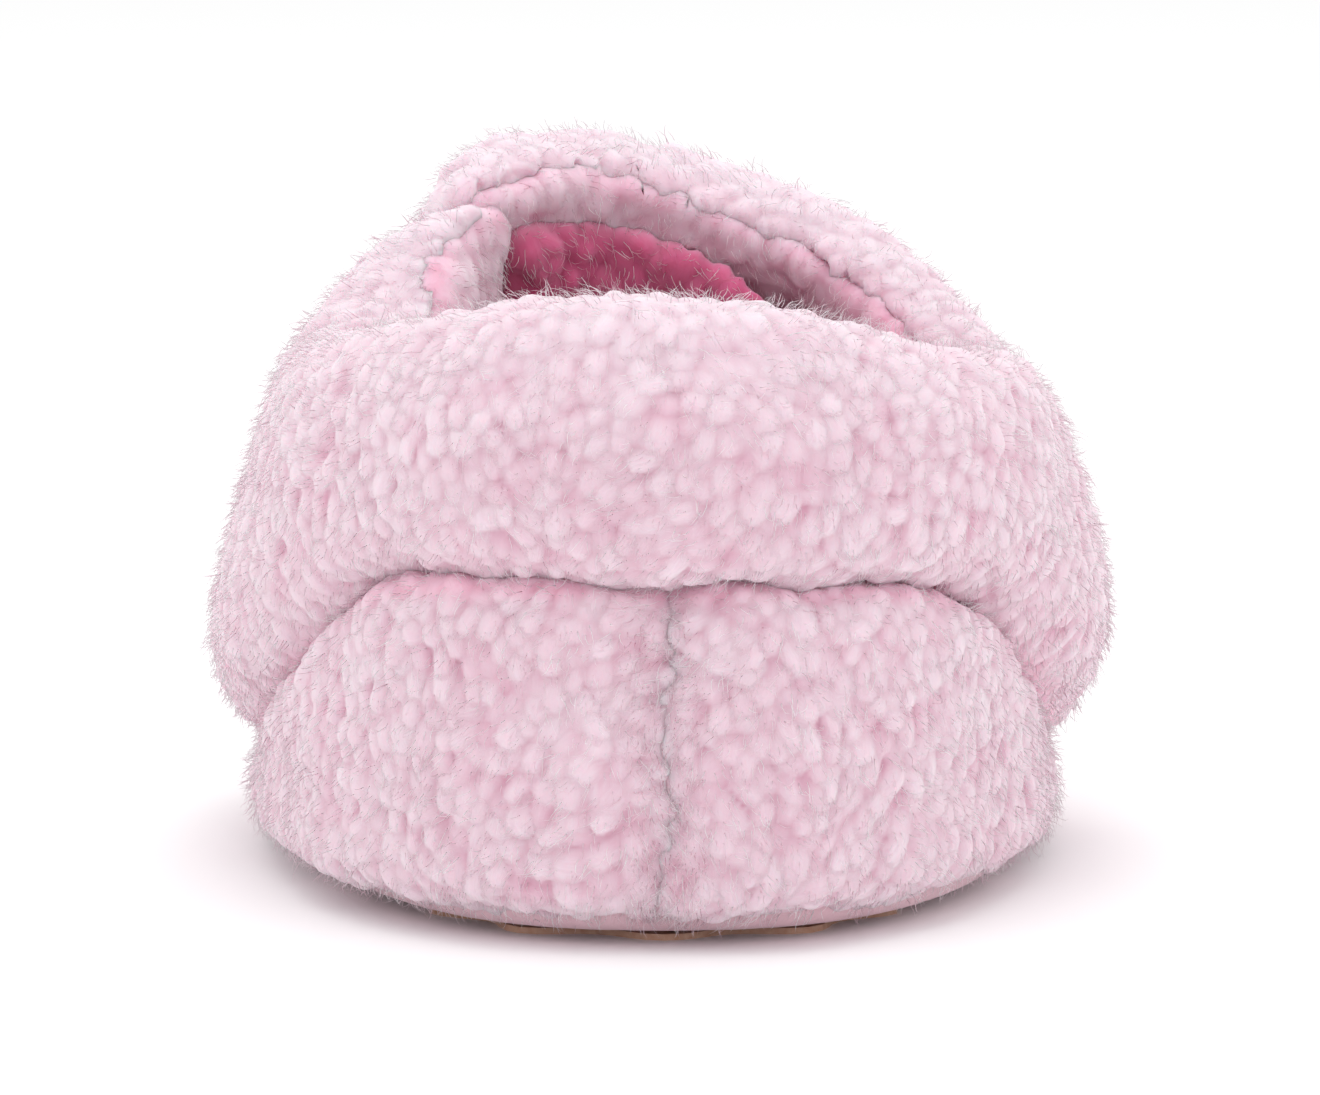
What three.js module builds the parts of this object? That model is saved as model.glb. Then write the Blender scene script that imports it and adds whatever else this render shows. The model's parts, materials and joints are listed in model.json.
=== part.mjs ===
// A fluffy slipper bootie for an infant's right foot, in millimetres: +Z up, the toe towards -Y.
// Fleece panels are sewn round a soft suede sole, and a plush ankle collar closes over the instep
// with a wrap flap on hook-and-loop tape.
//
// Every piece of the upper is laid out on one foot-shaped surface. A place on it has an angle round
// the foot (0 at the heel, 180 at the toe, positive towards +X, the inner side of the foot), a level
// (0 at the sole seam, 1 at the topline) and an offset outwards from the line where the outer
// panels and the lining meet.

import * as THREE from "three";
import { LoftGeometry } from "three/addons/geometries/LoftGeometry.js";

const { lerp, smoothstep, degToRad, clamp } = THREE.MathUtils;

// Foot shape, along the line where the outer panels and the lining meet.
const footLength = 116; // at the sole seam
const footWidth = 67; // at the sole seam
const toeShift = 3; // how far the toe leans to the inner side
const soleSquareness = 0.82; // power of the sine in the plan outline: 1 is an ellipse
const ankleInset = 4; // from the end of the heel to the ankle opening
const ankleLength = 53;
const ankleWidth = 49;
const creaseRise = 29; // gathered crease across the heel, above the sole seam
const heelRise = 55; // topline at the heel, above the sole seam
const sideRise = 47.5;
const instepRise = 61;
const toeRise = 29; // top of the toe box, above the sole seam
const heelSwell = 2.5; // how far the heel bulges past the sole seam
const toeSwell = 3;
const sideSwell = 1.4; // how far the sides bulge past the sole seam
const toplineTilt = 1.2; // the inner side stands this much higher, and the outer side lower
const instepTilt = 10; // the same again in front of the ankle

// Cloth and padding.
const layerGap = 0.5; // between two layers
const levelGap = 0.004; // half the gap between panels, as a level
const edgeTurn = 0.5; // half the gap between panels, in degrees
const hingeTurn = 3.5; // room for the flap to fold, in degrees
const hingeLift = 0.07; // how far the flap clears the vamp at the fold, as a level
const panelEdge = 1.6; // thickness of a fleece panel where it is sewn
const liningPile = 5.6;
const cupPile = 6.6;
const vampPile = 5.6;
const collarPile = 7.2;
const underlapPile = 2.4; // thin end of the collar that the flap closes over
const flapPile = 6.4;
const flapLiningPile = 2.8;
const tonguePile = 4.4;
const waddingThickness = 4; // room for it under the collar
const waddingSlack = 1.1; // of that room, what is left over the wadding
const waddingBottom = 0.18; // level
const waddingTop = 0.92; // level
const waddingFade = 0.07; // levels over which the collar comes back down to the lining
const waddingFadeTurn = 4; // the same again in degrees
const tapeThickness = 0.6;
const tapeTurn = 7; // degrees that the back seam's tape reaches to each side
const tapeStart = 0.12; // level of its lower end
const elasticThickness = 0.9;
const elasticHeight = 0.09; // as a level

// Sole.
const soleOverhang = 3.8; // sole edge past the sole seam
const gripThickness = 0.6;
const suedeThickness = 1.6;
const foamThickness = 1.4;
const sockThickness = 3.4;
const rimRise = 0.3; // turned-up rim, above the sole seam
const rimCorner = 1.2; // rounding inside the rim
const soleRound = 2.6; // rounding under the sole's edge
const floorCamber = 0.05; // how far the sole's inner floor rises to its middle
const threadRadius = 0.4;
const gripInset = 4; // from the end of the sole to the grip pad
const heelGripLength = 42;
const heelGripWidth = 48;
const toeGripLength = 54;
const toeGripWidth = 52;
const gripScallop = 0.06; // depth of the grip pads' scallops, as a share of their radius

// Hook-and-loop tape, on the outer side of the ankle.
const tapeMiddle = 234; // degrees
const tapeHalfTurn = 9; // degrees
const tapeBottom = 0.64; // level
const tapeTop = 0.88; // level
const loopThickness = 0.9;
const hookThickness = 0.8;

// Panel edges, in degrees and levels.
// The degrees are multiples of gridStep, so that neighbouring panels bend at the same places.
const gridStep = 8;
const cupEnd = 104; // where the heel cup runs out at the sole
const creaseTurn = 40; // the crease stays level as far as this
const seamStart = 0.04; // lower edge of the outer panels
const vampStart = 112; // where the vamp starts at the sole
const instepTurn = 136; // where the vamp's upper edge reaches the instep
const instepLevel = 0.63;
const flapRoot = 128;
const flapTip = 248;
const flapTipLevel = 0.52; // lower corner of the flap's free end
const flapTipRound = 0.15; // how much of each corner is rounded off, as a level
const flapRiseStart = 200; // where the flap's lower edge leaves the vamp's seam
const flapStackStart = 176; // where the flap starts to ride up over the tape
const tongueTop = 0.93;

// Heights.
const suedeBottom = gripThickness + layerGap;
const soleFloor = suedeBottom + suedeThickness;
const seamHeight = soleFloor + foamThickness + 2 * layerGap;
const rimHeight = seamHeight + rimRise;

// --- The foot-shaped surface ---

// A profile from the sole seam to the topline: each point is how far out and how high above the seam.
function profile(...points) {
  return new THREE.SplineCurve(points.map(([out, up]) => new THREE.Vector2(out, seamHeight + up)));
}

const heelEnd = footLength / 2;
const heelTop = heelEnd - ankleInset;
const ankleMiddle = heelTop - ankleLength / 2; // y of the middle of the ankle opening
const heelProfile = profile(
  [heelEnd, 0],
  [heelEnd + heelSwell * 0.8, creaseRise * 0.3],
  [heelEnd + heelSwell * 0.9, creaseRise * 0.66],
  [heelEnd - heelSwell * 0.4, creaseRise],
  [heelEnd - heelSwell * 0.4, lerp(creaseRise, heelRise, 0.36)],
  [lerp(heelEnd, heelTop, 0.45), lerp(creaseRise, heelRise, 0.68)],
  [lerp(heelEnd, heelTop, 0.75), lerp(creaseRise, heelRise, 0.88)],
  [heelTop, heelRise],
);
const creaseLevel = 3 / 7; // the heel profile's fourth point of eight

const sideEnd = footWidth / 2;
const sideTop = ankleWidth / 2;
const sideProfile = profile(
  [sideEnd, 0],
  [sideEnd + sideSwell * 0.8, sideRise * 0.15],
  [sideEnd + sideSwell, sideRise * 0.32],
  [sideEnd, sideRise * 0.49],
  [lerp(sideEnd, sideTop, 0.2), sideRise * 0.65],
  [lerp(sideEnd, sideTop, 0.46), sideRise * 0.8],
  [lerp(sideEnd, sideTop, 0.78), sideRise * 0.91],
  [sideTop, sideRise],
);

const toeEnd = footLength / 2; // how far forward, towards -Y
const instepTop = ankleLength / 2 - ankleMiddle;
const toeProfile = profile(
  [toeEnd, 0],
  [toeEnd + toeSwell, toeRise * 0.32],
  [toeEnd + toeSwell * 0.5, toeRise * 0.72],
  [lerp(toeEnd, instepTop, 0.13), toeRise],
  [lerp(toeEnd, instepTop, 0.4), lerp(toeRise, instepRise, 0.16)],
  [lerp(toeEnd, instepTop, 0.67), lerp(toeRise, instepRise, 0.42)],
  [lerp(toeEnd, instepTop, 0.88), lerp(toeRise, instepRise, 0.76)],
  [instepTop, instepRise],
);

function offsetPoint(curve, level, offset) {
  const along = curve.getTangent(level);
  return curve.getPoint(level).add(new THREE.Vector2(along.y, -along.x).multiplyScalar(offset));
}

// A place on the surface. The heel, side and toe profiles are blended round the foot.
function surfacePoint(degrees, level, offset) {
  const angle = degToRad(degrees);
  const along = Math.cos(angle);
  const across = Math.sin(angle);
  const side = offsetPoint(sideProfile, level, offset);
  const end = offsetPoint(along >= 0 ? heelProfile : toeProfile, level, offset);
  const middle = lerp(0, ankleMiddle, smoothstep(level, 0.15, 0.95));
  const reach = along >= 0 ? end.x - middle : end.x + middle;
  const power = lerp(soleSquareness, 1, level);
  const lean = along < 0 ? toeShift * along ** 2 * (1 - level) : 0;
  const tilt = (toplineTilt + instepTilt * smoothstep(-along, -0.1, 0.5)) * across * level ** 2;
  return new THREE.Vector3(
    side.x * Math.sign(across) * Math.abs(across) ** power + lean,
    middle + reach * along,
    lerp(side.y, end.y, along ** 2) + tilt,
  );
}

// --- Builders ---

const bootie = new THREE.Group();

const finishes = {
  fleece: { color: 0xf0cdd9, roughness: 0.95, metalness: 0 },
  lining: { color: 0xd98aa8, roughness: 0.95, metalness: 0 },
  suede: { color: 0xe6bfc6, roughness: 0.85, metalness: 0 },
  rubber: { color: 0xc99a7c, roughness: 0.7, metalness: 0 },
  padding: { color: 0xf3ece4, roughness: 0.9, metalness: 0 },
  tape: { color: 0xefd9df, roughness: 0.8, metalness: 0 },
  thread: { color: 0xe2a9b8, roughness: 0.7, metalness: 0 },
};

function addPiece(name, finish, geometry) {
  const mesh = new THREE.Mesh(geometry, new THREE.MeshStandardMaterial(finishes[finish]));
  mesh.name = name;
  bootie.add(mesh);
}

// Full over the middle of a panel and nothing at its edges, for a share from 0 to 1 across it.
const crown = (share) => Math.max(0, 1 - Math.abs(2 * share - 1) ** 6) ** 0.6;

// The angles of a panel's sections: its two ends and the grid between them.
function anglesBetween(from, to) {
  const first = Math.floor(from / gridStep) + 1;
  const last = Math.ceil(to / gridStep) - 1;
  const between = Array.from({ length: last - first + 1 }, (_, i) => (first + i) * gridStep);
  return [from, ...between, to];
}

// A sewn panel whose sections run upwards, at angles from one end to the other. inner and outer
// give the offsets of its two faces for a place: its angle, level, and shares up and round the panel.
function panel({ from, to, low, high, inner, outer, rows = 8 }) {
  const sections = anglesBetween(from, to).map((angle) => {
    const round = (angle - from) / (to - from);
    const face = (offset) =>
      Array.from({ length: rows + 1 }, (_, row) => {
        const up = row / rows;
        const level = lerp(low(angle), high(angle), up);
        return surfacePoint(angle, level, offset({ angle, level, up, round }));
      });
    return [...face(outer), ...face(inner).reverse()];
  });
  return new LoftGeometry(sections, { capStart: true, capEnd: true });
}

const always = (value) => () => value;

// The outer face of a fleece panel, pulled thin by the stitches round its edges.
function pillow(base, pile) {
  return (place) => base(place) + panelEdge + (pile - panelEdge) * crown(place.up) * crown(place.round);
}

function ring(offset, height, points = 48) {
  return Array.from({ length: points }, (_, i) =>
    surfacePoint((360 * i) / points, 0, offset).setZ(height),
  );
}

function slab(outline, bottom, thickness) {
  const shape = new THREE.Shape(outline.map((point) => new THREE.Vector2(point.x, point.y)));
  const geometry = new THREE.ExtrudeGeometry(shape, { depth: thickness, bevelEnabled: false });
  return geometry.translate(0, 0, bottom);
}

// --- Panel edges ---

// The crease between the heel cup and the collar: level across the heel, then down to the sole.
function crease(angle) {
  const past = Math.max(0, Math.abs(angle) - creaseTurn);
  const slope = (creaseLevel - seamStart) / (cupEnd - creaseTurn);
  const softened = (past ** 2 * (1 + 6 / (cupEnd - creaseTurn))) / (past + 6);
  return Math.max(seamStart, creaseLevel - slope * softened);
}

// The slanting seam from the sole up to the instep, between the vamp and the collar.
function vampSeam(angle) {
  const away = angle > 180 ? 360 - angle : Math.abs(angle);
  return lerp(seamStart, instepLevel, clamp((away - vampStart) / (instepTurn - vampStart), 0, 1));
}

const collarLow = (angle) => Math.max(crease(angle) + levelGap, vampSeam(angle) + 2 * levelGap);

// --- Sole ---

function outsole() {
  const wall = soleOverhang - suedeThickness;
  const rings = [
    [-soleOverhang, soleFloor + floorCamber],
    [wall - rimCorner, soleFloor],
    [wall, soleFloor + rimCorner],
    [wall, rimHeight],
    [soleOverhang, rimHeight],
    [soleOverhang, suedeBottom + soleRound * 0.7],
    [soleOverhang - soleRound * 0.35, suedeBottom + soleRound * 0.2],
    [soleOverhang - soleRound, suedeBottom],
  ];
  return new LoftGeometry(
    rings.map(([offset, height]) => ring(offset, height)),
    { capStart: true, capEnd: true },
  );
}

// A flat pad with a scalloped edge, lying on the floor.
function gripPad(length, width, middle, scallops) {
  const points = Array.from({ length: scallops * 8 }, (_, i) => {
    const turn = (i / (scallops * 8)) * 2 * Math.PI;
    const radius = 0.5 * (1 - gripScallop * (1 - Math.cos(scallops * turn)));
    return new THREE.Vector2(width * radius * Math.sin(turn), middle + length * radius * Math.cos(turn));
  });
  return slab(points, 0, gripThickness);
}

// The row of thread that sews the upper to the sole, lying inside the turned-up rim.
function soleThread() {
  const middle = layerGap + threadRadius;
  const height = soleFloor + layerGap + threadRadius;
  const sections = Array.from({ length: 60 }, (_, i) =>
    Array.from({ length: 6 }, (_, k) => {
      const turn = (k / 6) * 2 * Math.PI;
      const point = surfacePoint(6 * i, 0, middle + threadRadius * Math.cos(turn));
      return point.setZ(height + threadRadius * Math.sin(turn));
    }),
  );
  return new LoftGeometry([...sections, sections[0]]);
}

const soleEnd = footLength / 2 + soleOverhang;
const heelGripMiddle = soleEnd - gripInset - heelGripLength / 2;
const toeGripMiddle = gripInset + toeGripLength / 2 - soleEnd;
addPiece("outsole", "suede", outsole());
addPiece("heel_grip_pad", "rubber", gripPad(heelGripLength, heelGripWidth, heelGripMiddle, 10));
addPiece("toe_grip_pad", "rubber", gripPad(toeGripLength, toeGripWidth, toeGripMiddle, 12));
addPiece("foam_insole", "padding", slab(ring(0, 0), soleFloor + layerGap, foamThickness));
addPiece("fleece_sock", "lining", slab(ring(-liningPile - 2 * layerGap, 0), seamHeight, sockThickness));
addPiece("sole_seam_thread", "thread", soleThread());

// --- Lining ---

const liningFootShare = 0.2; // how far up its swell the lining starts at the footbed

// The lining is thin at the topline and at its ends, and full down to the footbed.
function liningFace({ up, round }) {
  const fill = crown(lerp(liningFootShare, 1, up)) * crown(round);
  return -layerGap - panelEdge - (liningPile - panelEdge) * fill;
}

const liningSeam = (angle) => Math.max(0, vampSeam(angle) - seamStart);

// The quarter lining stands a little clear of the vamp's seam.
const liningBack = ({ angle }) =>
  -layerGap * lerp(1, 1.6, smoothstep(Math.abs(angle), vampStart - gridStep, instepTurn - gridStep));

addPiece("quarter_lining", "lining", panel({
  from: -instepTurn,
  to: instepTurn,
  low: (angle) => liningSeam(angle) + 4 * levelGap,
  high: always(1),
  inner: liningFace,
  outer: liningBack,
  rows: 14,
}));
addPiece("toe_lining", "lining", panel({
  from: vampStart + 2 * edgeTurn,
  to: 360 - vampStart - 2 * edgeTurn,
  low: always(0),
  high: (angle) => liningSeam(angle) - levelGap,
  inner: liningFace,
  outer: always(-layerGap),
  rows: 14,
}));

// The tongue fills the front of the opening, inside the flap.
addPiece("tongue", "lining", panel({
  from: instepTurn + 4 * edgeTurn,
  to: 360 - instepTurn - 4 * edgeTurn,
  low: always(instepLevel - seamStart + levelGap),
  high: always(tongueTop),
  inner: ({ up, round }) => -layerGap - panelEdge - (tonguePile - panelEdge) * crown(up) * crown(round),
  outer: always(-layerGap),
}));

// --- Heel cup and vamp ---

// Room for the back seam's tape under the heel cup's two panels.
function tapeRoom({ angle, level }) {
  const room = (tapeThickness + layerGap) * smoothstep(level, seamStart, tapeStart);
  return room * (1 - smoothstep(Math.abs(angle), tapeTurn, 2 * tapeTurn));
}

function cupPanel(from, to) {
  return panel({
    from,
    to,
    low: always(seamStart),
    high: (angle) => crease(angle) - levelGap,
    inner: tapeRoom,
    outer: pillow(tapeRoom, cupPile),
  });
}
addPiece("heel_cup_medial", "fleece", cupPanel(edgeTurn, cupEnd - 3 * edgeTurn));
addPiece("heel_cup_lateral", "fleece", cupPanel(3 * edgeTurn - cupEnd, -edgeTurn));

addPiece("back_seam_tape", "tape", panel({
  from: -tapeTurn,
  to: tapeTurn,
  low: always(tapeStart),
  high: always(creaseLevel - 2 * levelGap),
  inner: always(0),
  outer: always(tapeThickness),
}));

addPiece("vamp", "fleece", panel({
  from: vampStart + edgeTurn,
  to: 360 - vampStart - edgeTurn,
  low: always(seamStart),
  high: (angle) => vampSeam(angle) - levelGap,
  inner: always(0),
  outer: pillow(always(0), vampPile),
  rows: 14,
}));

// --- Collar ---

// How far the wadding lifts the collar off the lining. It dies away at the collar's edges.
function waddingLift({ angle, level }) {
  const upwards =
    smoothstep(level, seamStart, waddingBottom) *
    (1 - smoothstep(level, waddingTop - waddingFade, waddingTop + waddingFade));
  const round =
    smoothstep(angle, -vampStart, waddingFadeTurn - cupEnd) *
    (1 - smoothstep(angle, vampStart + waddingFadeTurn, flapRoot));
  return (waddingThickness + layerGap) * upwards * round;
}

addPiece("collar_wadding", "padding", panel({
  from: -cupEnd,
  to: vampStart,
  low: (angle) => Math.max(crease(angle) + elasticHeight + 4 * levelGap, waddingBottom),
  high: always(waddingTop),
  inner: always(0),
  outer: (place) => waddingLift(place) - waddingSlack,
  rows: 12,
}));

addPiece("heel_elastic", "tape", panel({
  from: -creaseTurn,
  to: creaseTurn,
  low: always(creaseLevel + levelGap),
  high: always(creaseLevel + levelGap + elasticHeight),
  inner: always(0),
  outer: always(elasticThickness),
  rows: 3,
}));

// The collar thins down where the flap closes over its outer end.
function collarFace(place) {
  const share = smoothstep(place.angle, flapTip - 360, flapTip - 360 + 2 * gridStep);
  const ends = Math.max(1 - share, crown(place.round));
  const pile = lerp(underlapPile, collarPile, share);
  return waddingLift(place) + panelEdge + (pile - panelEdge) * crown(place.up) * ends;
}

addPiece("ankle_collar", "fleece", panel({
  from: edgeTurn - instepTurn,
  to: flapRoot - edgeTurn,
  low: collarLow,
  high: always(1),
  inner: waddingLift,
  outer: collarFace,
  rows: 12,
}));

// --- Wrap flap ---

const loopFace = underlapPile + 1.8 * layerGap;
const hookFace = loopFace + loopThickness + layerGap;
const flapStack = hookFace + hookThickness + layerGap;

// The flap lies on the tongue at the front and rides up over the tape at its free end.
const flapBase = ({ angle }) =>
  flapStack * smoothstep(angle, flapStackStart, tapeMiddle - tapeHalfTurn - 1);

// The flap's lower edge leaves the vamp's seam and rises to the corner of the free end, which is
// rounded off above and below.
const tipRound = (angle) => {
  const along = smoothstep(angle, flapTip - 2 * gridStep, flapTip);
  return flapTipRound * (1 - Math.sqrt(1 - along ** 2));
};
const foldLift = (angle) => hingeLift * (1 - smoothstep(angle, flapRoot, flapStackStart));
const flapLow = (angle) => {
  const rise = smoothstep(angle, flapRiseStart, flapTip - gridStep);
  return lerp(vampSeam(angle) + 3 * levelGap + foldLift(angle), flapTipLevel, rise) + tipRound(angle);
};
const flapHigh = (angle) => 1 - tipRound(angle);

const flapLiningFace = (place) =>
  flapBase(place) + panelEdge + (flapLiningPile - panelEdge) * crown(place.up);

addPiece("flap_lining", "lining", panel({
  from: flapRoot + hingeTurn,
  to: flapTip,
  low: flapLow,
  high: flapHigh,
  inner: flapBase,
  outer: flapLiningFace,
  rows: 12,
}));
addPiece("closure_flap", "fleece", panel({
  from: flapRoot + hingeTurn,
  to: flapTip,
  low: flapLow,
  high: flapHigh,
  inner: (place) => flapLiningFace(place) + layerGap,
  outer: pillow((place) => flapLiningFace(place) + layerGap, flapPile),
  rows: 12,
}));

function tapePatch(bottom, thickness) {
  return panel({
    from: tapeMiddle - tapeHalfTurn,
    to: tapeMiddle + tapeHalfTurn,
    low: always(tapeBottom),
    high: always(tapeTop),
    inner: always(bottom),
    outer: always(bottom + thickness),
    rows: 6,
  });
}
addPiece("loop_patch", "tape", tapePatch(loopFace, loopThickness));
addPiece("hook_patch", "tape", tapePatch(hookFace, hookThickness));

// The origin is on the floor, under the middle of the bootie.
const middle = new THREE.Box3().setFromObject(bootie).getCenter(new THREE.Vector3());
bootie.position.set(-middle.x, -middle.y, 0);

export default bootie;
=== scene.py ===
"""An infant's slipper bootie in plush pink sherpa fleece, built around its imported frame.

Each fleece panel is puffed up from its plain solid and then covered with curly locks of pile. The
sole is brushed suede with printed grips, and the flap fastens with hook-and-loop tape.
"""

import json
import math

import bpy
import numpy as np
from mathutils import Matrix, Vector, noise
from mathutils.bvhtree import BVHTree
from mathutils.kdtree import KDTree


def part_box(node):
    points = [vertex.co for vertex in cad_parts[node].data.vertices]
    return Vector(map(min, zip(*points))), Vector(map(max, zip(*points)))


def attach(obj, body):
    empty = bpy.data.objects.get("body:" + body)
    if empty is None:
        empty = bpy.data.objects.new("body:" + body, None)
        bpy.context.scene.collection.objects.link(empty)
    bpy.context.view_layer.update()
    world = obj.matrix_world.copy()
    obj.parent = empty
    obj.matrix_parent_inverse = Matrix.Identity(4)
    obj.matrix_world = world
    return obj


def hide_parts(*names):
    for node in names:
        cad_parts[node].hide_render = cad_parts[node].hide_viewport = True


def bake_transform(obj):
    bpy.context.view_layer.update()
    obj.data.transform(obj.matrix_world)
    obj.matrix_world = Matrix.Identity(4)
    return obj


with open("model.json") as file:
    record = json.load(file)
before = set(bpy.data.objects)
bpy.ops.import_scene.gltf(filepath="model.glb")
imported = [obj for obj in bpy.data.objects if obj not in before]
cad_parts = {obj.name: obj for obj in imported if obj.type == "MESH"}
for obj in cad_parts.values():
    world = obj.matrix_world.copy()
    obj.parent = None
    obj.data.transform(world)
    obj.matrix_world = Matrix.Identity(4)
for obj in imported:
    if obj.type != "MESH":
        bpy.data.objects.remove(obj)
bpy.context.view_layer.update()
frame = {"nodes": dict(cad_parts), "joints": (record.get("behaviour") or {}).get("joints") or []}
MM = 0.001

# Where the camera stands, in millimetres and degrees.
CAMERA_DISTANCE = 700
CAMERA_ELEVATION = 7.5
CAMERA_LENS = 199.7
AIM_ABOVE_FLOOR = 38.3

# Pile, in millimetres.
LOCK_SPACING = 1.8
LOCK_DEPTH = 1.05
SEAM_SWELL = 0.5  # how far each panel presses against its neighbours
LOCK_OVERHANG = 0.55  # how far a lock's tip hangs over, as a share of its depth
PILE_GRAIN = 0.5  # size of the pile's mesh
LINING_GRAIN = 0.7
WISP_SPACING = 1.45
WISP_LENGTH = 1.9
WISP_FIBRES = 4
WISP_SPREAD = 0.8
WISP_FIBRE_RADIUS = 0.035
WISP_VARIANTS = 8
ANKLE_NARROWING = 0.035
CREASE_HEIGHT = 34.5
SHOULDER = (22, -14, 63)  # middle of the flap's bulge above its root
SHOULDER_SWELL = (3.4, 0, 1.4)
SEAM_REACH = 3.2  # how far from a seam the pile is still painted a brighter pink, as painted bounce light
SEWN_PANELS = ("ankle_collar", "heel_cup_medial", "heel_cup_lateral", "vamp", "closure_flap", "flap_lining")
LEAN = 0.6  # how far the loose fibres lean over: 0 stands up straight


# The flap's fold: a point on it, and the ways across it to the collar and down to the vamp.
HINGE = Vector(next(joint["pos_m"] for joint in frame["joints"] if joint["name"] == "flap_hinge"))
TO_COLLAR = Vector((0.77, 0.51, -0.37)).normalized()
TO_TOE = Vector((0, -0.72, -0.69)).normalized()


# --- Helpers ---

def srgb(hex_colour):
    """A linear colour from an sRGB hex value such as "E8D0DC"."""
    parts = [int(hex_colour[i:i + 2], 16) / 255 for i in (0, 2, 4)]
    return [c / 12.92 if c <= 0.04045 else ((c + 0.055) / 1.055) ** 2.4 for c in parts] + [1]


def add_node(tree, kind, settings=None, **links):
    """Adds a node, sets its properties, and fills each named input with a value or a socket."""
    node = tree.nodes.new(kind)
    for key, value in (settings or {}).items():
        setattr(node, key, value)
    for key, value in links.items():
        socket = node.inputs[int(key[1:])] if key[0] == "i" and key[1:].isdigit() else node.inputs[key.replace("_", " ")]
        if isinstance(value, bpy.types.NodeSocket):
            tree.links.new(value, socket)
        else:
            socket.default_value = value
    return node


def only(piece):
    """Selects one object, and nothing else."""
    bpy.ops.object.select_all(action="DESELECT")
    piece.select_set(True)
    bpy.context.view_layer.objects.active = piece


def apply_modifier(piece, kind, **settings):
    only(piece)
    modifier = piece.modifiers.new(kind.title(), kind)
    for key, value in settings.items():
        setattr(modifier, key, value)
    bpy.ops.object.modifier_apply(modifier=modifier.name)


def copy_of(node, name):
    """A copy of a CAD node with its doubled corners merged."""
    piece = frame["nodes"][node].copy()
    piece.data = piece.data.copy()
    piece.name = piece.data.name = name
    piece.parent = None
    for key in list(piece.keys()):
        del piece[key]
    piece.hide_render = piece.hide_viewport = False
    bpy.context.scene.collection.objects.link(piece)
    only(piece)
    bpy.ops.object.mode_set(mode="EDIT")
    bpy.ops.mesh.select_all(action="SELECT")
    bpy.ops.mesh.remove_doubles(threshold=1e-6)
    bpy.ops.object.mode_set(mode="OBJECT")
    return piece


def points_of(piece):
    co = np.empty(len(piece.data.vertices) * 3)
    piece.data.vertices.foreach_get("co", co)
    return co.reshape(-1, 3)


def set_points(piece, points):
    piece.data.vertices.foreach_set("co", np.asarray(points, float).ravel())
    piece.data.update()


def dress(piece, material, slot, body, *nodes):
    """Gives a piece its material and its place on the frame."""
    piece.data.materials.clear()
    piece.data.materials.append(material)
    only(piece)
    bpy.ops.object.shade_smooth()
    if nodes:
        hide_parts(*nodes)
    if body == "flap":
        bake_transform(piece)
    else:
        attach(piece, body)


# --- Materials ---

def new_material(name, **principled):
    """A material whose Principled shader has these values on its own sockets."""
    material = bpy.data.materials.new(name)
    material.use_nodes = True
    tree = material.node_tree
    shader = tree.nodes["Principled BSDF"]
    for key, value in principled.items():
        shader.inputs[key.replace("_", " ")].default_value = value
    return material, tree, shader


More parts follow.
